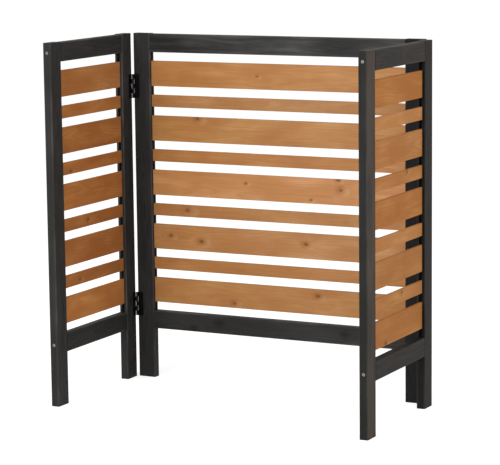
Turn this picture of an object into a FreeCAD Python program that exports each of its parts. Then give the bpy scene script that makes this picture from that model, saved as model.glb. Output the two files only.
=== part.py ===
import FreeCAD, Part
import os
import re
import Sketcher

# Three-panel folding garden screen. +Z is up, the screened bay opens towards -Y and the origin
# lies on the ground at the middle of the standing screen. A wide centre panel carries a narrow
# wing at each side on two knuckled butt hinges, and both wings stand square to it at rest.
# Every panel is a frame of two stiles and two rails round a ladder of loose wooden slats.

# Driving sizes in millimetres, angles in degrees. The two hinge places are measured to the
# middle of a hinge, down from the top rail and up from the bottom rail.
SIZES = {
    # Panels
    "screen_height": 950,
    "centre_width": 850,
    "wing_width": 415,
    # Frame sticks
    "stile_width": 51,
    "frame_depth": 23,
    "frame_arris": 3,
    "top_rail_height": 50,
    "top_step": 1,
    "bottom_rail_height": 50,
    "ground_clearance": 138,
    # Slats, and the groove in the stiles that holds their ends
    "wide_slats": 5,
    "wide_slat_height": 69,
    "narrow_slat_height": 33,
    "slat_depth": 8,
    "slat_arris": 1,
    "tongue_length": 8,
    "tenon_shoulder": 8,
    "groove_fit": 0.1,
    "groove_end_gap": 0.5,
    # Countersunk seats for the screws through the stiles into the rails
    "screw_seat_width": 9.7,
    "screw_seat_depth": 2.4,
    "screw_seat_slope": 45,
    # Butt hinges
    "hinge_height": 65,
    "hinge_knuckles": 5,
    "upper_hinge_drop": 93,
    "lower_hinge_rise": 16,
    "leaf_reach": 17.5,
    "leaf_thickness": 1.5,
    "knuckle_radius": 3,
    "knuckle_gap": 0.3,
    "running_gap": 0.3,
    "pin_radius": 1.5,
    "pin_fit": 0.05,
    "stile_gap": 1,
}

# Sizes that follow from the driving ones.
DERIVED = {
    "pin_offset": "knuckle_radius + running_gap",
    "wing_offset": "pin_offset + stile_gap / 2",
    "half_span": "(frame_depth + wing_offset + wing_width) / 2",
    "centre_face": "half_span - frame_depth",
    "wing_middle": "centre_face - wing_offset - wing_width / 2",
    "wing_face": "centre_width / 2 + wing_offset",
    "pin_along": "(centre_width + stile_gap) / 2",
    "pin_back": "centre_face - pin_offset",
    "top_rail_level": "screen_height - top_step - top_rail_height",
    "first_gap_level": "ground_clearance + bottom_rail_height",
    "slat_room": "top_rail_level - first_gap_level",
    "slat_total": "wide_slats * wide_slat_height + (wide_slats - 1) * narrow_slat_height",
    "slat_gap": "(slat_room - slat_total) / (2 * wide_slats)",
    "slat_recess": "(frame_depth - slat_depth) / 2",
    "groove_width": "slat_depth + 2 * groove_fit",
    "groove_depth": "tongue_length + groove_end_gap",
    "groove_bottom": "ground_clearance + tenon_shoulder - groove_fit",
    "groove_top": "top_rail_level + top_rail_height - tenon_shoulder + groove_fit",
    "top_screw_level": "top_rail_level + top_rail_height / 2",
    "bottom_screw_level": "ground_clearance + bottom_rail_height / 2",
    "upper_hinge_level": "top_rail_level - upper_hinge_drop - hinge_height / 2",
    "lower_hinge_level": "first_gap_level + lower_hinge_rise - hinge_height / 2",
    "knuckle_pitch": "hinge_height / hinge_knuckles",
    "notch_reach": "pin_offset + running_gap",
}

doc = FreeCAD.newDocument("garden_screen")
sheet = doc.addObject("Spreadsheet::Sheet", "Sizes")
for row, (alias, value) in enumerate(SIZES.items(), start=1):
    sheet.set(f"A{row}", alias)
    sheet.set(f"B{row}", str(value))
    sheet.setAlias(f"B{row}", alias)
doc.recompute()

nodes = {}


# ---------------------------------------------------------------- small building helpers

def sized(formula):
    """Turn a formula of size names into an expression on the sheet's cells."""
    def cell(match):
        word = match.group()
        if word in DERIVED:
            return f"({sized(DERIVED[word])})"
        return f"Sizes.{word}"
    return re.sub(r"[a-z][a-z_]+", cell, formula)


def bind(thing, **formulas):
    """Bind properties of an object to formulas of size names."""
    for name, formula in formulas.items():
        thing.setExpression(name, sized(formula))


def place(thing, x="0", y="0", z="0", turn=None):
    """Give an object a rotation and a position that follows the sizes."""
    turn = turn or FreeCAD.Rotation()
    thing.Placement = FreeCAD.Placement(FreeCAD.Vector(), turn)
    for axis, formula in zip("xyz", (x, y, z)):
        thing.setExpression(f"Placement.Base.{axis}", sized(formula))


def new_body(name):
    """Start a sub-part and list it under its node name."""
    body = doc.addObject("PartDesign::Body", name)
    body.Label = name
    nodes[name] = body
    return body


def origin_feature(body, role):
    """Find a plane or axis of the body's own origin."""
    return next(item for item in body.Origin.OriginFeatures if item.Role == role)


def new_sketch(body, name, plane, lift="0"):
    """Start a sketch on one of the body's origin planes, lifted along its normal."""
    sketch = body.newObject("Sketcher::SketchObject", f"{body.Name}_{name}")
    sketch.AttachmentSupport = [(origin_feature(body, plane), "")]
    sketch.MapMode = "FlatFace"
    sketch.setExpression("AttachmentOffset.Base.z", sized(lift))
    return sketch


def pin_point(sketch, geometry, point, x, y):
    """Hold a point of a sketch at two formulas, measured from the sketch's origin."""
    for kind, axis, formula in (("DistanceX", -2, x), ("DistanceY", -1, y)):
        if formula == "0":
            sketch.addConstraint(Sketcher.Constraint("PointOnObject", geometry, point, axis))
            continue
        row = sketch.addConstraint(Sketcher.Constraint(kind, -1, 1, geometry, point, 1.0))
        sketch.setExpression(f"Constraints[{row}]", sized(formula))


def add_polygon(sketch, corners):
    """Draw a closed outline through corners given as pairs of formulas."""
    first = sketch.GeometryCount
    count = len(corners)
    for step in range(count):
        start = FreeCAD.Vector(step, step * step, 0)
        finish = FreeCAD.Vector(step + 1, step + 2, 0)
        sketch.addGeometry(Part.LineSegment(start, finish), False)
    for step in range(count):
        ahead = first + (step + 1) % count
        sketch.addConstraint(Sketcher.Constraint("Coincident", first + step, 2, ahead, 1))
    for step, (x, y) in enumerate(corners):
        pin_point(sketch, first + step, 1, x, y)


def add_rectangle(sketch, left, right, low, high):
    """Draw a rectangle between four formulas."""
    add_polygon(sketch, [(left, low), (right, low), (right, high), (left, high)])


def add_circle(sketch, x, y, radius):
    """Draw a circle round a centre given by two formulas."""
    centre = FreeCAD.Vector(1, 1, 0)
    circle = sketch.addGeometry(Part.Circle(centre, FreeCAD.Vector(0, 0, 1), 1.0), False)
    pin_point(sketch, circle, 3, x, y)
    row = sketch.addConstraint(Sketcher.Constraint("Radius", circle, 1.0))
    sketch.setExpression(f"Constraints[{row}]", sized(radius))


def pad(body, sketch, length, both_ways=False):
    """Raise a sketch into a solid, along its normal or to both sides of its plane."""
    feature = body.newObject("PartDesign::Pad", f"{sketch.Name}_pad")
    feature.Profile = sketch
    feature.SideType = "Symmetric" if both_ways else "One side"
    bind(feature, Length=length)
    body.Tip = feature
    doc.recompute()
    return feature


def cut(body, sketch, length, turned=False, slope=None):
    """Cut a sketch into the body against its normal, or along it when turned.

    A slope narrows the cut with its depth.
    """
    before = body.Shape.Volume
    feature = body.newObject("PartDesign::Pocket", f"{sketch.Name}_pocket")
    feature.Profile = sketch
    feature.Reversed = turned
    bind(feature, Length=length)
    if slope:
        bind(feature, TaperAngle=f"-{slope}")
    body.Tip = feature
    doc.recompute()
    if body.Shape.Volume > before - 1e-3:
        raise ValueError(f"{feature.Name} removes nothing")
    return feature


def edges_along(feature, axis):
    """Name the straight edges of a feature that run along an axis."""
    names = []
    for number, edge in enumerate(feature.Shape.Edges, start=1):
        if not isinstance(edge.Curve, Part.Line):
            continue
        if abs(abs(edge.Curve.Direction.dot(axis)) - 1) < 1e-6:
            names.append(f"Edge{number}")
    return names


def dress(body, kind, feature, names, size_property, formula):
    """Round or bevel named edges of a feature."""
    dressed = body.newObject(f"PartDesign::{kind}", f"{feature.Name}_{kind.lower()}")
    dressed.Base = (feature, names)
    bind(dressed, **{size_property: formula})
    body.Tip = dressed
    doc.recompute()
    return dressed


ALONG_X = FreeCAD.Vector(1, 0, 0)
ALONG_Z = FreeCAD.Vector(0, 0, 1)


# ---------------------------------------------------------------- frame sticks and slats

def make_stile(name, side):
    """Upright stick, its outer edge at x = 0 and its grooved inner edge towards side * x."""
    body = new_body(name)
    outline = new_sketch(body, "outline", "XY_Plane")
    add_rectangle(outline, "0", f"{side} * stile_width", "0", "frame_depth")
    stick = pad(body, outline, "screen_height")
    dress(body, "Fillet", stick, edges_along(stick, ALONG_Z), "Radius", "frame_arris")

    # A stopped groove down the middle of the inner edge takes the slats and the rail tenons.
    groove = new_sketch(body, "groove", "XY_Plane", "groove_top")
    add_rectangle(groove, f"{side} * (stile_width - groove_depth)", f"{side} * (stile_width + frame_arris)",
                  "(frame_depth - groove_width) / 2", "(frame_depth + groove_width) / 2")
    cut(body, groove, "groove_top - groove_bottom")

    # Countersunk seats in the outer edge for the heads of the two rail screws.
    seats = new_sketch(body, "screw_seats", "YZ_Plane")
    for level in ("top_screw_level", "bottom_screw_level"):
        add_circle(seats, "frame_depth / 2", level, "screw_seat_width / 2")
    cut(body, seats, "screw_seat_depth", turned=side > 0, slope="screw_seat_slope")
    return body


def make_rail(name, span, height):
    """Level stick between two stiles, its middle at x = 0, with a stub tenon at each end."""
    body = new_body(name)
    outline = new_sketch(body, "outline", "YZ_Plane")
    add_rectangle(outline, "0", "frame_depth", "0", height)
    stick = pad(body, outline, span, both_ways=True)
    dress(body, "Fillet", stick, edges_along(stick, ALONG_X), "Radius", "frame_arris")

    tenon = new_sketch(body, "tenons", "YZ_Plane")
    add_rectangle(tenon, "slat_recess", "slat_recess + slat_depth",
                  "tenon_shoulder", f"{height} - tenon_shoulder")
    pad(body, tenon, f"{span} + 2 * tongue_length", both_ways=True)

    return body


def make_slat(name, span, height):
    """Thin board with eased long edges, its middle at x = 0 and its ends tongued into the grooves."""
    body = new_body(name)
    outline = new_sketch(body, "outline", "YZ_Plane")
    add_rectangle(outline, "slat_recess", "slat_recess + slat_depth", "0", height)
    board = pad(body, outline, f"{span} + 2 * tongue_length", both_ways=True)
    dress(body, "Chamfer", board, edges_along(board, ALONG_X), "Size", "slat_arris")
    return body


# ---------------------------------------------------------------- panels

QUARTER_TURN = FreeCAD.Rotation(ALONG_Z, 90)
QUARTER_BACK = FreeCAD.Rotation(ALONG_Z, -90)

# Each panel is drawn from inside the bay: its own x runs from its left stile to its right one.
PANELS = {
    "centre": {"width": "centre_width", "turn": FreeCAD.Rotation()},
    "left_wing": {"width": "wing_width", "turn": QUARTER_TURN},
    "right_wing": {"width": "wing_width", "turn": QUARTER_BACK},
}


def on_panel(panel, along, back="0"):
    """Formulas for a point of a panel, from its middle along it and behind its inner face."""
    if panel == "centre":
        return along, f"centre_face + {back}"
    if panel == "left_wing":
        return f"-wing_face - ({back})", f"wing_middle + {along}"
    return f"wing_face + {back}", f"wing_middle - ({along})"


def seat(body, panel, along, level):
    """Put a sub-part on its panel."""
    x, y = on_panel(panel, along)
    place(body, x, y, level, PANELS[panel]["turn"])


def make_panel(panel):
    """Frame and slats of one panel."""
    width = PANELS[panel]["width"]
    span = f"({width} - 2 * stile_width)"
    for end, side in (("left", 1), ("right", -1)):
        stile = make_stile(f"{panel}_{end}_stile", side)
        seat(stile, panel, f"{-side} * {width} / 2", "0")
    seat(make_rail(f"{panel}_top_rail", span, "top_rail_height"), panel, "0", "top_rail_level")
    seat(make_rail(f"{panel}_bottom_rail", span, "bottom_rail_height"), panel, "0", "ground_clearance")

    # Wide and narrow slats take turns, counted from the top, with a wide one at both ends.
    slats = 2 * SIZES["wide_slats"] - 1
    for below in range(slats):
        height = "narrow_slat_height" if below % 2 else "wide_slat_height"
        level = (f"first_gap_level + {below + 1} * slat_gap + {(below + 1) // 2} * wide_slat_height"
                 f" + {below // 2} * narrow_slat_height")
        slat = make_slat(f"{panel}_slat_{slats - below}", span, height)
        seat(slat, panel, "0", level)


# ---------------------------------------------------------------- hinges

# Levels of the lower ends of the hinges.
HINGE_LEVELS = ("upper_hinge_level", "lower_hinge_level")


def make_leaf(name, side, first_notch):
    """Hinge leaf with its pin axis on z: the plate reaches side * x and its back is at pin_offset."""
    body = new_body(name)
    plate = new_sketch(body, "plate", "XY_Plane")
    add_rectangle(plate, "0", f"{side} * leaf_reach", "pin_offset - leaf_thickness", "pin_offset")
    pad(body, plate, "hinge_height")
    barrel = new_sketch(body, "barrel", "XY_Plane")
    add_circle(barrel, "0", "0", "knuckle_radius")
    pad(body, barrel, "hinge_height")

    # Every second knuckle is cut away to let the other leaf's knuckles in.
    for notch in range(first_notch, SIZES["hinge_knuckles"], 2):
        gap = new_sketch(body, f"notch_{notch + 1}", "XY_Plane",
                         f"{notch + 1} * knuckle_pitch + knuckle_gap / 2")
        add_rectangle(gap, f"-{side} * notch_reach", f"{side} * notch_reach", "-notch_reach", "notch_reach")
        cut(body, gap, "knuckle_pitch + knuckle_gap")

    pin_hole = new_sketch(body, "pin_hole", "XY_Plane", "hinge_height")
    add_circle(pin_hole, "0", "0", "pin_radius + pin_fit")
    cut(body, pin_hole, "hinge_height")
    return body


def make_pin(name):
    """Straight hinge pin, as long as its hinge."""
    body = new_body(name)
    section = new_sketch(body, "section", "XY_Plane")
    add_circle(section, "0", "0", "pin_radius")
    pad(body, section, "hinge_height")
    return body


def make_hinges():
    """Two hinges at each side: a centre leaf, a wing leaf and a pin."""
    for hand, side in (("left", 1), ("right", -1)):
        wing_turn = PANELS[f"{hand}_wing"]["turn"]
        for tier, level in zip(("upper", "lower"), HINGE_LEVELS):
            pin_place = (f"{-side} * pin_along", "pin_back", level)
            place(make_leaf(f"{hand}_{tier}_hinge_centre_leaf", side, 1), *pin_place)
            place(make_leaf(f"{hand}_{tier}_hinge_wing_leaf", -side, 0), *pin_place, wing_turn)
            place(make_pin(f"{hand}_{tier}_hinge_pin"), *pin_place)


for panel_name in PANELS:
    make_panel(panel_name)
make_hinges()
doc.recompute()

# ---------------------------------------------------------------- check and write

for item in doc.Objects:
    if "Invalid" in item.State or "Error" in item.State:
        raise ValueError(f"{item.Name} could not be computed: {item.State}")

os.makedirs("parts", exist_ok=True)
for node_name, node in nodes.items():
    if node.Shape.isNull() or not node.Shape.isValid():
        raise ValueError(f"{node_name} has no valid shape")
    node.Shape.exportStep(f"parts/{node_name}.step")
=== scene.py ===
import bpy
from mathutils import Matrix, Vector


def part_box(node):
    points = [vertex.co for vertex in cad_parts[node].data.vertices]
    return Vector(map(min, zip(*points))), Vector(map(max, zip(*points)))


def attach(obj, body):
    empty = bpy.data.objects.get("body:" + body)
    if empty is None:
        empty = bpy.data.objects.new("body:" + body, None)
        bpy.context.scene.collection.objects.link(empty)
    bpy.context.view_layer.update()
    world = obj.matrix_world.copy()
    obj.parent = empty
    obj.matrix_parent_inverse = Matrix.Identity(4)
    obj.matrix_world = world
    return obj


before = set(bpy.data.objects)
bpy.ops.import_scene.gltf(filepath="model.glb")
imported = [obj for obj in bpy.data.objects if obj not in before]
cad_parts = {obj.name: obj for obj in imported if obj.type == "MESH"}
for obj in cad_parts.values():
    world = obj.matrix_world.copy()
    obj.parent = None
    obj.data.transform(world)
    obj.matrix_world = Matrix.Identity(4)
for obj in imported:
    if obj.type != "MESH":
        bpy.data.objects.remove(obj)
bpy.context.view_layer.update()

import math
import random
import bmesh
import bpy
from mathutils import Matrix, Vector

# ------------------------------------------------------------------ camera
# The screen was photographed from its open side, a little from the right and from about chest
# height, with a long lens. Angles in degrees, lengths in metres, focal length for a 36 mm sensor.

look_yaw, look_pitch, look_roll = 26.8121, 8.7590, -0.6322
look_distance = 5.9927
look_at = Vector((-0.0756, 0.1979, 0.4228))
focal_length = 160.97

yaw, pitch, roll = map(math.radians, (look_yaw, look_pitch, look_roll))
back = Vector((math.sin(yaw) * math.cos(pitch), -math.cos(yaw) * math.cos(pitch), math.sin(pitch)))
right = Vector((math.cos(yaw), math.sin(yaw), 0))
up = back.cross(right)
camera = bpy.data.objects.new("camera", bpy.data.cameras.new("camera"))
bpy.context.scene.collection.objects.link(camera)
camera.data.sensor_width = 36
camera.data.lens = focal_length
camera.matrix_world = Matrix.Translation(look_at + back * look_distance) @ Matrix((
    right * math.cos(roll) + up * math.sin(roll),
    up * math.cos(roll) - right * math.sin(roll),
    back,
)).transposed().to_4x4()
bpy.context.scene.camera = camera
bpy.context.scene.view_settings.view_transform = "Standard"


# ------------------------------------------------------------------ studio
# A sheet of white paper under the screen, a large soft box in front and a second one to the right.
# The room is white all round. The paper shows white and keeps the screen's faint shadow.

def linear(code):
    """Turn an sRGB hex colour into the linear one that shaders take."""
    parts = [int(code[place:place + 2], 16) / 255 for place in (1, 3, 5)]
    return (*(part / 12.92 if part <= 0.04045 else ((part + 0.055) / 1.055) ** 2.4 for part in parts), 1)


def add(tree, kind, *inputs, named=None, **settings):
    """Add a node. Inputs are values, sockets or nodes, in order or by socket name or number."""
    made = tree.nodes.new("ShaderNode" + kind)
    for name, value in settings.items():
        setattr(made, name, value)
    for key, value in [*enumerate(inputs), *(named or {}).items()]:
        if isinstance(value, bpy.types.Node):
            value = value.outputs[0]
        if isinstance(value, bpy.types.NodeSocket):
            tree.links.new(value, made.inputs[key])
        else:
            made.inputs[key].default_value = value
    return made


def new_material(name):
    """Start a material with no nodes in it."""
    material = bpy.data.materials.new(name)
    material.use_nodes = True
    material.node_tree.nodes.clear()
    return material, material.node_tree


def seen_rays(tree):
    """1 for a ray that shows the studio itself: to the camera, in gloss or through glass."""
    path = add(tree, "LightPath").outputs
    seen = add(tree, "Math", path["Is Camera Ray"], path["Is Glossy Ray"], operation="MAXIMUM")
    return add(tree, "Math", seen, path["Is Transmission Ray"], operation="MAXIMUM")


# Towards the screen the paper is matt and faintly cloudy. Where it is seen itself, it glows as well,
# up to plain white.
paper, tree = new_material("white_paper")
clouds_per_metre = 40.0
seen_grey, seen_glow = (0.8, 0.8, 0.8, 1), 0.67
seen = seen_rays(tree)
fibres = add(tree, "TexNoise", named={"Scale": clouds_per_metre, "Detail": 4.0})
pulp = add(tree, "Mix", named={0: fibres, 6: linear("#F2F2F1"), 7: linear("#F7F7F7")}, data_type="RGBA")
matt = add(tree, "BsdfDiffuse", pulp.outputs[2])
glow = add(tree, "Emission", (1, 1, 1, 1), seen_glow)
lifted = add(tree, "AddShader", add(tree, "BsdfDiffuse", seen_grey), glow)
add(tree, "OutputMaterial", add(tree, "MixShader", seen, matt, lifted))

paper_reach = 40
floor_mesh = bpy.data.meshes.new("floor")
floor_mesh.from_pydata([(side * paper_reach, end * paper_reach, 0)
                        for side, end in ((-1, -1), (1, -1), (1, 1), (-1, 1))], [], [(0, 1, 2, 3)])
floor = bpy.data.objects.new("floor", floor_mesh)
bpy.context.scene.collection.objects.link(floor)
floor.data.materials.append(paper)

room_light = 0.45
world = bpy.data.worlds.new("studio")
bpy.context.scene.world = world
world.use_nodes = True
tree = world.node_tree
tree.nodes.clear()
level = add(tree, "MapRange", seen_rays(tree), 0.0, 1.0, room_light, 1.0)
add(tree, "OutputWorld", add(tree, "Background", (1, 1, 1, 1), level))

lit_spot = Vector((0, 0, 0.45))
# Name, place, size across, watts
soft_boxes = (
    ("front_soft_box", (-0.6, -4.3, 2.6), 2.6, 131),
    ("right_soft_box", (4.4, -0.8, 1.9), 2.0, 49),
)
for name, place, across, power in soft_boxes:
    lamp = bpy.data.lights.new(name, "AREA")
    lamp.shape = "DISK"
    lamp.size = across
    lamp.energy = power
    box = bpy.data.objects.new(name, lamp)
    bpy.context.scene.collection.objects.link(box)
    box.location = place
    box.rotation_euler = (lit_spot - box.location).to_track_quat("-Z", "Y").to_euler()


# ------------------------------------------------------------------ frame sticks
# Six stiles and six rails of planed pine, dipped in a black stain that leaves the grain to be
# felt and just seen. The rails sit in the stiles' grooves with stub tenons and are screwed.

# Nearly all values of a noise lie between these.
noise_span = (0.3, 0.7)


def sum_of_squares(tree, one, other):
    """Add nodes for the square of one plus the square of other."""
    return add(tree, "Math", add(tree, "Math", one, one, operation="MULTIPLY"),
               add(tree, "Math", other, other, operation="MULTIPLY"), operation="ADD")


def grow_pine(tree, stick, seed, pith, lean, ring, knots=()):
    """Solid pine round a stick's own middle, in millimetres: growth rings, fibres and knots.

    pith is the heart's place across and behind the stick, lean its drift in millimetres per metre,
    ring the width of a year's growth. A knot is its place along and across, and its radius.
    """
    low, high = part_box(stick)
    size = [(high[axis] - low[axis]) * 1000 for axis in range(3)]
    along = size.index(max(size))
    through = size.index(min(size))
    across = 3 - along - through
    point = add(tree, "VectorMath", add(tree, "TexCoord").outputs["Object"], tuple(-(low + high) / 2),
                operation="ADD")
    point = add(tree, "VectorMath", point, named={"Scale": 1000.0}, operation="SCALE")
    split = add(tree, "SeparateXYZ", point)
    length, width, depth = split.outputs[along], split.outputs[across], split.outputs[through]

    # The heart wanders along the stick, which turns straight lines into long arches. Here and below,
    # multiples of the seed keep one stick's noises apart from each other and from the next stick's.
    wander_length, wander_across, wander_behind = 238, 34.0, 20.0
    place = add(tree, "CombineXYZ", add(tree, "Math", length, 1 / wander_length, operation="MULTIPLY"),
                seed, seed * 1.7)
    drift = add(tree, "TexNoise", place, named={"Scale": 1.0, "Detail": 1.0})
    drift = add(tree, "VectorMath", drift.outputs["Color"], (0.5, 0.5, 0.5), operation="SUBTRACT")
    drift = add(tree, "SeparateXYZ", drift)
    side = add(tree, "Math", drift.outputs[0], wander_across, -pith[0], operation="MULTIPLY_ADD")
    side = add(tree, "Math", width, side, operation="ADD")
    behind = add(tree, "Math", drift.outputs[1], wander_behind, -pith[1], operation="MULTIPLY_ADD")
    behind = add(tree, "Math", depth, behind, operation="ADD")
    behind = add(tree, "Math", length, lean / 1000, behind, operation="MULTIPLY_ADD")
    radius = add(tree, "Math", sum_of_squares(tree, side, behind), operation="SQRT")

    # Slow unevenness of the rings, drawn out along the stick.
    uneven_length, uneven_width, uneven_by = 166.7, 28.6, 7.0
    place = add(tree, "CombineXYZ", add(tree, "Math", length, 1 / uneven_length, operation="MULTIPLY"),
                add(tree, "Math", width, 1 / uneven_width, seed, operation="MULTIPLY_ADD"),
                add(tree, "Math", depth, 1 / uneven_width, operation="MULTIPLY"))
    uneven = add(tree, "TexNoise", place, named={"Scale": 1.0, "Detail": 3.0, "Roughness": 0.55})
    radius = add(tree, "Math", add(tree, "Math", uneven, 0.5, operation="SUBTRACT"), uneven_by, radius,
                 operation="MULTIPLY_ADD")

    # Knots: plugs of darker wood, drawn out along the stick, that the rings flow round, with paler
    # wood to one side. Their ragged edges are given in shares of the stretched radius.
    stretch_along, stretch_across = 1.8, 1.3
    ragged, heart_edge, heart_end, plug_end = 1.6, 1.1, 1.75, 3.4
    flow_fade, flow_height = -0.16, 0.7
    pale_along, pale_across, pale_end = 1.0, -0.6, 2.0
    knot, core, pale = None, None, None
    for knot_along, knot_across, knot_radius in knots:
        run = add(tree, "Math", add(tree, "Math", length, knot_along, operation="SUBTRACT"),
                  1 / (stretch_along * knot_radius), operation="MULTIPLY")
        rise = add(tree, "Math", add(tree, "Math", width, knot_across, operation="SUBTRACT"),
                   1 / (stretch_across * knot_radius), operation="MULTIPLY")
        away = sum_of_squares(tree, run, rise)
        bend = add(tree, "Math", away, flow_fade, operation="MULTIPLY")
        bend = add(tree, "Math", bend, operation="EXPONENT")
        radius = add(tree, "Math", bend, knot_radius * flow_height, radius, operation="MULTIPLY_ADD")
        edge = add(tree, "Math", uneven, ragged, add(tree, "Math", away, operation="SQRT"),
                   operation="MULTIPLY_ADD")
        plug = add(tree, "MapRange", edge, heart_edge, plug_end, 1.0, 0.0, interpolation_type="SMOOTHSTEP")
        heart = add(tree, "MapRange", edge, heart_edge, heart_end, 1.0, 0.0, interpolation_type="SMOOTHSTEP")
        beside = sum_of_squares(tree, add(tree, "Math", run, pale_along, operation="SUBTRACT"),
                                add(tree, "Math", rise, pale_across, operation="SUBTRACT"))
        beside = add(tree, "MapRange", beside, 0.0, pale_end ** 2, 1.0, 0.0)
        knot = add(tree, "Math", knot, plug, operation="MAXIMUM") if knot else plug
        core = add(tree, "Math", core, heart, operation="MAXIMUM") if core else heart
        pale = add(tree, "Math", pale, beside, operation="MAXIMUM") if pale else beside

    # A year's ring goes slowly from pale early wood to a dark late line, then starts anew.
    turn = add(tree, "Math", add(tree, "Math", radius, 1 / ring, operation="MULTIPLY"), operation="FRACT")
    rings = add(tree, "ValToRGB", turn)
    steps = rings.color_ramp.elements
    early = (0.1, 0.1, 0.1, 1)
    steps[0].position, steps[0].color = 0.0, early
    steps[1].position, steps[1].color = 1.0, early
    for position, late in ((0.5, 0.25), (0.8, 0.85), (0.9, 1.0)):
        steps.new(position).color = (late, late, late, 1)

    # Fibres a millimetre across and a hand long, streaks of nine millimetres that follow the rings,
    # and blotches where the stain took more or less.
    fibre_length, fibre_width = 100, 1.111
    streak_length, streak_width = 286, 9.09
    blotch_length, blotch_width = 125, 55.6
    place = add(tree, "CombineXYZ", add(tree, "Math", length, 1 / fibre_length, operation="MULTIPLY"),
                add(tree, "Math", width, 1 / fibre_width, seed, operation="MULTIPLY_ADD"),
                add(tree, "Math", depth, 1 / fibre_width, operation="MULTIPLY"))
    fibre = add(tree, "TexNoise", place, named={"Scale": 1.0, "Detail": 3.0, "Roughness": 0.6})
    place = add(tree, "CombineXYZ", add(tree, "Math", length, 1 / streak_length, operation="MULTIPLY"),
                add(tree, "Math", radius, 1 / streak_width, seed, operation="MULTIPLY_ADD"), seed * 3.1)
    streak = add(tree, "TexNoise", place, named={"Scale": 1.0, "Detail": 2.0, "Roughness": 0.5})
    place = add(tree, "CombineXYZ",
                add(tree, "Math", length, 1 / blotch_length, seed, operation="MULTIPLY_ADD"),
                add(tree, "Math", width, 1 / blotch_width, operation="MULTIPLY"), seed * 0.7)
    blotch = add(tree, "TexNoise", place, named={"Scale": 1.0, "Detail": 2.0, "Roughness": 0.5})
    return {
        "length": length, "width": width, "depth": depth, "half": (size[across] / 2, size[through] / 2),
        "rings": rings.outputs["Color"], "fibre": fibre.outputs["Fac"], "streak": streak.outputs["Fac"],
        "blotch": blotch.outputs["Fac"], "knot": knot, "core": core, "pale": pale,
    }


def stained_surface(tree, wood, tone, roughness, relief, shine):
    """Finish a stained pine material. relief is the bump's strength and height in metres."""
    ring_height = 0.5
    rough = add(tree, "MapRange", wood["fibre"], *noise_span, *roughness)
    height = add(tree, "Math", wood["rings"], ring_height, wood["fibre"], operation="MULTIPLY_ADD")
    bump = add(tree, "Bump", named={"Strength": relief[0], "Distance": relief[1], "Height": height})
    shader = add(tree, "BsdfPrincipled", named={
        "Base Color": tone, "Roughness": rough, "IOR": 1.45, "Specular IOR Level": shine, "Normal": bump})
    add(tree, "OutputMaterial", shader)


def black_stained_pine(stick, seed, pith, lean, thin, shade, painted_sheen, knots=()):
    """Matt black stain: charcoal, greyer in streaks where it lies thin, and greyer at the arrises,
    where it rubs and where an edge highlight is painted.

    thin is how far the streaks show, and shade the lightness at the stick's low and high ends, with
    painted light and shade in it as well as stain. The argument after shade is how far a painted
    sheen lightens the +X face.
    """
    ring_width, low_end, high_end = 2.6, -380, 330
    face_from, face_to, uneven_sheen = 9.0, 11.2, (0.4, 1.3)
    arris_from, arris_to, rubbed_and_highlit_where, rubbed_and_highlit_by = 4.5, 0.4, (0.45, 0.7), (0.15, 0.8)
    thin_where, knot_strength = (0.16, 0.42), 0.6
    roughness, relief, shine = (0.5, 0.66), (0.35, 0.0006), 0.1
    material, tree = new_material("black_stained_pine_" + stick)
    wood = grow_pine(tree, stick, seed, pith, lean, ring_width, knots)
    tone = add(tree, "Mix", named={0: wood["rings"], 6: linear("#302F2E"), 7: linear("#222223")},
               data_type="RGBA")
    streaks = add(tree, "Math", wood["streak"], wood["blotch"], operation="MULTIPLY")
    streaks = add(tree, "MapRange", streaks, *thin_where, 0.0, thin)
    tone = add(tree, "Mix", named={0: streaks, 6: tone.outputs[2], 7: linear("#535352")}, data_type="RGBA")
    # Painted sheen: the +X face is lightened towards a warm grey, unevenly along the streaks.
    if painted_sheen:
        sheen_face = add(tree, "MapRange", wood["depth"], face_from, face_to, 0.0, painted_sheen)
        sheen_face = add(tree, "Math", sheen_face, add(tree, "MapRange", wood["streak"], *noise_span, *uneven_sheen),
                    operation="MULTIPLY")
        tone = add(tree, "Mix", named={0: sheen_face, 6: tone.outputs[2], 7: linear("#7A6654")}, data_type="RGBA")
    # The arris is where both faces end within a few millimetres.
    near = []
    for place, half in zip((wood["width"], wood["depth"]), wood["half"]):
        off_middle = add(tree, "Math", place, operation="ABSOLUTE")
        near.append(add(tree, "MapRange", off_middle, half - arris_from, half - arris_to, 0.0, 1.0))
    arris = add(tree, "Math", near[0], near[1], operation="MULTIPLY")
    # Rubbed arrises with a painted edge highlight: the arris turns grey-brown in patches.
    rubbed_and_highlit = add(tree, "MapRange", wood["blotch"], *rubbed_and_highlit_where, *rubbed_and_highlit_by)
    worn_and_highlit = add(tree, "Math", arris, rubbed_and_highlit, operation="MULTIPLY")
    tone = add(tree, "Mix", named={0: worn_and_highlit, 6: tone.outputs[2], 7: linear("#605B56")}, data_type="RGBA")
    if wood["knot"]:
        plug = add(tree, "Math", wood["knot"], knot_strength, operation="MULTIPLY")
        tone = add(tree, "Mix", named={0: plug, 6: tone.outputs[2], 7: linear("#171515")}, data_type="RGBA")
    # Painted light and shade as well as stain: the stick's lightness runs from its low to its high end,
    # lighter where a sheen is painted and darker where shade is painted.
    light = add(tree, "MapRange", wood["length"], low_end, high_end, *shade)
    tone = add(tree, "VectorMath", tone.outputs[2], named={"Scale": light}, operation="SCALE")
    stained_surface(tree, wood, tone, roughness, relief, shine)
    return material


def finish_node(name, material):
    """Give one of the construction's own pieces its finish."""
    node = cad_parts[name]
    node.data.materials.clear()
    node.data.materials.append(material)


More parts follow.
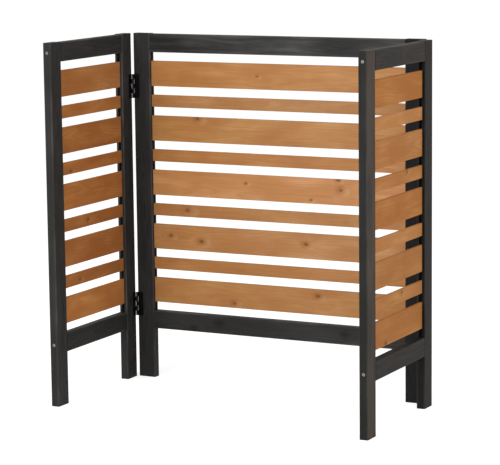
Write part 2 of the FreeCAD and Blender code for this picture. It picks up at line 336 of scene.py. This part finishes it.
# How each stick took its stain: how far thin streaks show. Then its lightness at its low and high end,
# which is painted light and shade as well as stain: a painted sheen that grows to the right along the
# centre rails and up the right wing's free stile, and painted shade on the centre's right stile behind
# the right wing and on the right wing's hinge stile and rails.
even_stain_and_light = (0.2, (1.0, 1.0))
stick_stain_and_light = {
    "centre_top_rail": (0.75, (0.65, 1.5)), "centre_bottom_rail": (0.2, (0.82, 1.3)),
    "centre_right_stile": (0.1, (0.45, 0.45)), "left_wing_right_stile": (0.2, (1.2, 1.2)),
    "left_wing_bottom_rail": (0.2, (0.82, 0.82)), "right_wing_left_stile": (0.1, (0.38, 0.38)),
    "right_wing_right_stile": (0.2, (0.62, 0.8)), "right_wing_top_rail": (0.1, (0.75, 0.75)),
    "right_wing_bottom_rail": (0.1, (0.5, 0.5)),
}
# Dark knots that show through the stain: place along and across in millimetres, and radius.
frame_knots = {
    "centre_bottom_rail": ((-252, -18, 5), (-174, 5, 6), (202, 2, 5)),
    "centre_right_stile": ((120, 4, 6),),
    "left_wing_right_stile": ((-260, -6, 5),),
    "right_wing_left_stile": ((40, 7, 6),),
}
# Painted sheen: the right wing's +X faces are lightened as if the bright room shone in them, its
# free stile's most of all.
outer_face_sheen = {"centre": 0, "left_wing": 0, "right_wing": 0.12}
free_stile, free_stile_sheen = "right_wing_right_stile", 0.3
dice = random.Random(7)
panels = ("centre", "left_wing", "right_wing")
for panel in panels:
    for piece in ("left_stile", "right_stile", "top_rail", "bottom_rail"):
        stick = f"{panel}_{piece}"
        pith = (dice.uniform(-22, 22), dice.choice((-1, 1)) * dice.uniform(18, 45))
        thin, shade = stick_stain_and_light.get(stick, even_stain_and_light)
        painted_sheen = free_stile_sheen if stick == free_stile else outer_face_sheen[panel]
        finish_node(stick, black_stained_pine(stick, dice.uniform(0, 90), pith, dice.uniform(-9, 9),
                                              thin, shade, painted_sheen, frame_knots.get(stick, ())))


# ------------------------------------------------------------------ slats
# Twenty-seven thin pine boards, wide and narrow in turn, held in the stiles' grooves. A clear
# orange-brown stain lets the grain and the knots show, and every board took it a little differently.

def honey_stained_pine(slat, seed, pith, lean, warmth, sheen_ends, coats, glow, knots=()):
    """Clear satin stain: honey brown early wood, redder late lines, dark knots with a red rim.

    warmth turns the board from yellow towards red. The argument after warmth is how far a painted
    sheen pales the board at its two ends. coats is the stain's depth and glow the board's brightness.
    """
    ring_width, low_end, high_end = 3.2, -330, 120
    line_strength, pale_strength, knot_strength, core_strength = 0.38, 0.45, 0.6, 0.75
    streak_where, streak_strength = (0.35, 0.7), 0.6
    patch_where, patch_strength = (0.36, 0.64), 0.9
    fibre_light = (0.9, 1.12)
    roughness, relief, shine = (0.5, 0.62), (0.2, 0.0004), 0.06
    material, tree = new_material("honey_stained_pine_" + slat)
    wood = grow_pine(tree, slat, seed, pith, lean, ring_width, knots)
    tone = add(tree, "Mix", named={0: warmth, 6: linear("#CC9B68"), 7: linear("#CC996E")}, data_type="RGBA")
    late = add(tree, "Mix", named={0: warmth, 6: linear("#A67444"), 7: linear("#A26D44")}, data_type="RGBA")
    lines = add(tree, "Math", wood["rings"], line_strength, operation="MULTIPLY")
    tone = add(tree, "Mix", named={0: lines, 6: tone.outputs[2], 7: late.outputs[2]}, data_type="RGBA")
    streaks = add(tree, "MapRange", wood["streak"], *streak_where, 0.0, streak_strength)
    tone = add(tree, "Mix", named={0: streaks, 6: tone.outputs[2], 7: linear("#B17B4B")}, data_type="RGBA")
    patches = add(tree, "MapRange", wood["blotch"], *patch_where, 0.0, patch_strength)
    tone = add(tree, "Mix", named={0: patches, 6: tone.outputs[2], 7: linear("#B57E50")}, data_type="RGBA")
    if wood["pale"]:
        pale = add(tree, "Math", wood["pale"], pale_strength, operation="MULTIPLY")
        tone = add(tree, "Mix", named={0: pale, 6: tone.outputs[2], 7: linear("#D3A67D")}, data_type="RGBA")
    # Painted sheen: the board goes from a dimmer cream tint at its low end towards untinted at its high end,
    # as set at its two ends.
    sheen_along = add(tree, "MapRange", wood["length"], low_end, high_end, *sheen_ends)
    tint = add(tree, "Mix", named={0: sheen_along, 6: linear("#ECE4CE"), 7: (1, 1, 1, 1)}, data_type="RGBA")
    tone = add(tree, "VectorMath", tone.outputs[2], tint.outputs[2], operation="MULTIPLY")
    tone = add(tree, "Gamma", tone, coats)
    fine = add(tree, "MapRange", wood["fibre"], *noise_span, *fibre_light)
    tone = add(tree, "VectorMath", tone, named={"Scale": add(tree, "Math", fine, glow, operation="MULTIPLY")},
               operation="SCALE")
    if wood["knot"]:
        plug = add(tree, "Math", wood["knot"], knot_strength, operation="MULTIPLY")
        tone = add(tree, "Mix", named={0: plug, 6: tone, 7: linear("#8F5B2E")}, data_type="RGBA")
        core = add(tree, "Math", wood["core"], core_strength, operation="MULTIPLY")
        tone = add(tree, "Mix", named={0: core, 6: tone.outputs[2], 7: linear("#784521")},
                   data_type="RGBA").outputs[2]
    stained_surface(tree, wood, tone, roughness, relief, shine)
    return material


# How far a painted sheen pales each panel's boards at their two ends: on the centre it grows
# towards the right ends, on the wings it is even. Then coats of stain and brightness. The
# wings took more stain than the centre.
panel_stain_and_sheen = {"centre": ((0.0, 1.0), 1.0, 1.0), "left_wing": ((0.4, 0.4), 1.22, 1.16),
               "right_wing": ((0.0, 0.0), 1.12, 1.2)}
# Boards unlike the rest of their panel: coats more or less, brightness, and share of the painted
# sheen.
like_the_rest = (0, 1, 1)
board_stain = {
    "centre_slat_2": (0, 0.86, 1), "centre_slat_5": (0, 1.12, 1), "centre_slat_6": (0, 0.94, 1),
    "centre_slat_8": (0, 1, 0.5), "centre_slat_9": (0, 0.98, 0.5), "left_wing_slat_5": (0, 1.1, 1),
    "left_wing_slat_7": (0, 0.95, 1), "left_wing_slat_9": (-0.08, 1.14, 1),
    "right_wing_slat_2": (-0.07, 1.07, 1), "right_wing_slat_4": (-0.08, 1.08, 1),
    "right_wing_slat_5": (0.02, 1.1, 1), "right_wing_slat_6": (-0.16, 1.1, 1),
    "right_wing_slat_8": (-0.13, 1.05, 1), "right_wing_slat_9": (0.06, 0.95, 1),
}
# Knots: place along and across in millimetres, and radius.
slat_knots = {
    "centre_slat_1": ((-53, 0, 2.6),),
    "centre_slat_3": ((-234, 30, 6),),
    "centre_slat_5": ((-90, 10, 2.7), (189, 5, 5.5), (182, 33, 3.6), (103, -25, 2.4)),
    "centre_slat_6": ((-268, 3, 7.5),),
    "centre_slat_7": ((-321, 4, 4.5), (-227, -7, 6), (87, 5, 5)),
    "centre_slat_9": ((-129, -21, 5), (121, 16, 5)),
    "left_wing_slat_4": ((-108, -9, 4),),
    "left_wing_slat_6": ((-27, 2, 4),),
    "left_wing_slat_8": ((-75, -3, 4.5),),
    "right_wing_slat_4": ((57, 12, 4),),
    "right_wing_slat_8": ((24, 9, 4),),
    "right_wing_slat_9": ((-78, -28, 5),),
}
for panel in panels:
    sheen_ends, coats, glow = panel_stain_and_sheen[panel]
    for number in range(1, 10):
        slat = f"{panel}_slat_{number}"
        pith = (dice.uniform(-25, 25), dice.choice((-1, 1)) * dice.uniform(25, 80))
        more, bright, sheen_share = board_stain.get(slat, like_the_rest)
        finish_node(slat, honey_stained_pine(
            slat, dice.uniform(0, 90), pith, dice.uniform(-10, 10), dice.uniform(0, 1),
            [share * sheen_share for share in sheen_ends], coats + more + dice.uniform(-0.06, 0.06),
            glow * bright * dice.uniform(0.93, 1.05), slat_knots.get(slat, ())))


# ------------------------------------------------------------------ hinges
# Four butt hinges of black steel: each leaf is rolled into its own knuckles and turns on a loose
# pin. The coating is satin. On the wing leaves' knuckles it is a little rubbed and carries a
# painted highlight.

def black_coated_steel(name, rubbed_and_highlit=None):
    """Satin black coating on steel with a soft highlight; greyer where rubbed: wear and a painted highlight.
    """
    # Orange peel of about a millimetre, and scuffs of four.
    peels_per_metre, scuffs_per_metre = 900.0, 260.0
    scuff_where, scuff_strength, smoother = (0.3, 0.6), (0.65, 1.0), -0.06
    roughness, shine = (0.34, 0.42), 0.14
    material, tree = new_material(name)
    coordinate = add(tree, "TexCoord").outputs["Object"]
    peel = add(tree, "TexNoise", coordinate, named={"Scale": peels_per_metre, "Detail": 2.0})
    tone = add(tree, "Mix", named={0: peel, 6: linear("#080707"), 7: linear("#0D0C0C")}, data_type="RGBA")
    rough = add(tree, "MapRange", peel, *noise_span, *roughness)
    # Greyer on the knuckles: a little wear and a painted highlight.
    if rubbed_and_highlit:
        scuff = add(tree, "TexNoise", coordinate, named={"Scale": scuffs_per_metre, "Detail": 3.0})
        worn_and_highlit = add(tree, "Math", rubbed_and_highlit(tree, coordinate),
                   add(tree, "MapRange", scuff, *scuff_where, *scuff_strength), operation="MULTIPLY")
        tone = add(tree, "Mix", named={0: worn_and_highlit, 6: tone.outputs[2], 7: linear("#232222")}, data_type="RGBA")
        rough = add(tree, "Math", worn_and_highlit, smoother, rough, operation="MULTIPLY_ADD")
    bump = add(tree, "Bump", named={"Strength": 0.05, "Distance": 0.0001, "Height": peel})
    shader = add(tree, "BsdfPrincipled", named={
        "Base Color": tone.outputs[2], "Roughness": rough, "IOR": 1.5, "Specular IOR Level": shine,
        "Normal": bump})
    add(tree, "OutputMaterial", shader)
    return material


def round_the_pins(tree, coordinate):
    """Where the knuckles are: close to the middle line of the pins, left or right."""
    knuckle_radius, fade_radius = 0.0030, 0.0034
    low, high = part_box("right_upper_hinge_pin")
    middle = (low + high) / 2
    split = add(tree, "SeparateXYZ", coordinate)
    across = add(tree, "Math", add(tree, "Math", split, operation="ABSOLUTE"), middle.x, operation="SUBTRACT")
    behind = add(tree, "Math", split.outputs[1], middle.y, operation="SUBTRACT")
    away = add(tree, "Math", sum_of_squares(tree, across, behind), operation="SQRT")
    return add(tree, "MapRange", away, knuckle_radius, fade_radius, 1.0, 0.0)


hinge_black = black_coated_steel("black_coated_steel")
# The wing leaves' knuckles carry a painted highlight as well as a little wear.
rubbed_and_highlit_black = black_coated_steel("black_coated_steel_rubbed_and_highlit", round_the_pins)
hinge_sides = {"left": 1, "right": -1}
for hand in hinge_sides:
    for tier in ("upper", "lower"):
        finish_node(f"{hand}_{tier}_hinge_centre_leaf", hinge_black)
        finish_node(f"{hand}_{tier}_hinge_wing_leaf", rubbed_and_highlit_black)
        finish_node(f"{hand}_{tier}_hinge_pin", hinge_black)


# ------------------------------------------------------------------ screws
# Countersunk wood screws with a cross recess. Twelve zinc-plated ones go through the stiles into
# the rails and sit just below the face, and twenty-four small black ones hold the hinge leaves.

def cross_screw(shape, radius, rise, sink, recess, place, outward):
    """Add a cross-recessed head to a mesh, its rim at place and facing outward.

    rise is how far its crown stands over the rim, sink how deep its cone goes under the rim, and
    recess how deep the cross is cut.
    """
    corners = 32
    crown_share, cross_floor_share = 0.86, 0.55
    arm_half_width, arm_length = radius * 0.13, radius * 0.55
    facing = Vector(outward).to_track_quat("Z", "Y").to_matrix().to_4x4()
    # Heads at different levels stopped at different turns, here in radians.
    least_turn, turn_per_metre = 0.35, 9
    as_driven = Matrix.Rotation(least_turn + turn_per_metre * place.z, 4, "Z")
    seat = Matrix.Translation(place) @ facing @ as_driven
    cross = []
    for quarter in range(4):
        spin = Matrix.Rotation(math.pi / 2 * quarter, 3, "Z")
        for spot in ((arm_length, -arm_half_width), (arm_length, arm_half_width),
                     (arm_half_width, arm_half_width)):
            cross.append(spin @ Vector((*spot, rise)))
    rim = [Vector((radius * math.cos(angle), radius * math.sin(angle), 0))
           for angle in (2 * math.pi * step / corners for step in range(corners))]
    crown = [Vector((point.x * crown_share, point.y * crown_share, rise)) for point in rim]
    neck_share = 1 - sink / radius
    neck = [Vector((point.x * neck_share, point.y * neck_share, -sink)) for point in rim]
    cross_floor = [Vector((point.x * cross_floor_share, point.y * cross_floor_share, rise - recess))
                   for point in cross]

    neck, rim, crown, cross, cross_floor = (
        [shape.verts.new(seat @ point) for point in loop] for loop in (neck, rim, crown, cross, cross_floor))
    for lower, upper in ((neck, rim), (rim, crown), (cross_floor, cross)):
        for step in range(len(lower)):
            after = (step + 1) % len(lower)
            shape.faces.new((lower[step], lower[after], upper[after], upper[step]))
    edges = []
    for loop in (crown, cross):
        for step in range(len(loop)):
            pair = (loop[step], loop[(step + 1) % len(loop)])
            edges.append(shape.edges.get(pair) or shape.edges.new(pair))
    bmesh.ops.triangle_fill(shape, use_beauty=True, edges=edges)
    shape.faces.new(neck)
    shape.faces.new(cross_floor)


def screw_piece(name, body, material, heads):
    """Make one piece of like screws that rides on a body."""
    shape = bmesh.new()
    for head in heads:
        cross_screw(shape, *head)
    bmesh.ops.recalc_face_normals(shape, faces=shape.faces)
    mesh = bpy.data.meshes.new(name)
    shape.to_mesh(mesh)
    shape.free()
    piece = bpy.data.objects.new(name, mesh)
    bpy.context.scene.collection.objects.link(piece)
    piece.data.materials.append(material)
    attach(piece, body)


# Zinc plating on steel: a dull grey shine with a fine spangle.
zinc, tree = new_material("zinc_plated_steel")
spangles_per_metre, zinc_roughness = 900.0, (0.32, 0.5)
coordinate = add(tree, "TexCoord").outputs["Object"]
spangle = add(tree, "TexNoise", coordinate, named={"Scale": spangles_per_metre, "Detail": 3.0})
tone = add(tree, "Mix", named={0: spangle, 6: linear("#908E8A"), 7: linear("#73716D")}, data_type="RGBA")
rough = add(tree, "MapRange", spangle, *noise_span, *zinc_roughness)
bump = add(tree, "Bump", named={"Strength": 0.1, "Distance": 0.0001, "Height": spangle})
shader = add(tree, "BsdfPrincipled", named={
    "Base Color": tone.outputs[2], "Metallic": 1.0, "Roughness": rough, "Normal": bump})
add(tree, "OutputMaterial", shader)

# Heads: radius, rise, sink and recess, as cross_screw takes them. A frame screw's lies below the face.
frame_head, frame_head_below = (0.0040, 0.0, 0.0014, 0.0020), 0.0009
hinge_head = (0.0030, 0.0006, 0.0006, 0.0005)
bodies = {"centre": "centre_panel", "left_wing": "left_wing", "right_wing": "right_wing"}
for panel in panels:
    heads = []
    for rail in ("top_rail", "bottom_rail"):
        low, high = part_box(f"{panel}_{rail}")
        middle = (low + high) / 2
        for stile in ("left_stile", "right_stile"):
            low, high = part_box(f"{panel}_{stile}")
            if panel == "centre":
                out = Vector((1 if low.x > 0 else -1, 0, 0))
                edge = Vector((high.x if low.x > 0 else low.x, middle.y, middle.z))
            else:
                out = Vector((0, 1 if low.y > 0 else -1, 0))
                edge = Vector((middle.x, high.y if low.y > 0 else low.y, middle.z))
            heads.append((*frame_head, edge - out * frame_head_below, out))
    screw_piece(f"{panel}_frame_screws", bodies[panel], zinc, heads)

# From a pin's middle: level and distance of the three screws in a leaf, and depth of the leaf's face.
leaf_screws = ((-0.0235, 0.009), (0, 0.0125), (0.0235, 0.009))
leaf_face = 0.0018
screw_black = black_coated_steel("black_coated_steel_screw")
for hand, side in hinge_sides.items():
    for leaf, body, out in (("centre_leaf", "centre_panel", Vector((0, -1, 0))),
                            ("wing_leaf", f"{hand}_wing", Vector((side, 0, 0)))):
        heads = []
        for tier in ("upper", "lower"):
            pin_low, pin_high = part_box(f"{hand}_{tier}_hinge_pin")
            pin = (pin_low + pin_high) / 2
            for level, distance in leaf_screws:
                if leaf == "centre_leaf":
                    spot = pin + Vector((side * distance, leaf_face, level))
                else:
                    spot = pin + Vector((-side * leaf_face, -distance, level))
                heads.append((*hinge_head, spot, out))
        screw_piece(f"{hand}_{leaf}_hinge_screws", body, screw_black, heads)
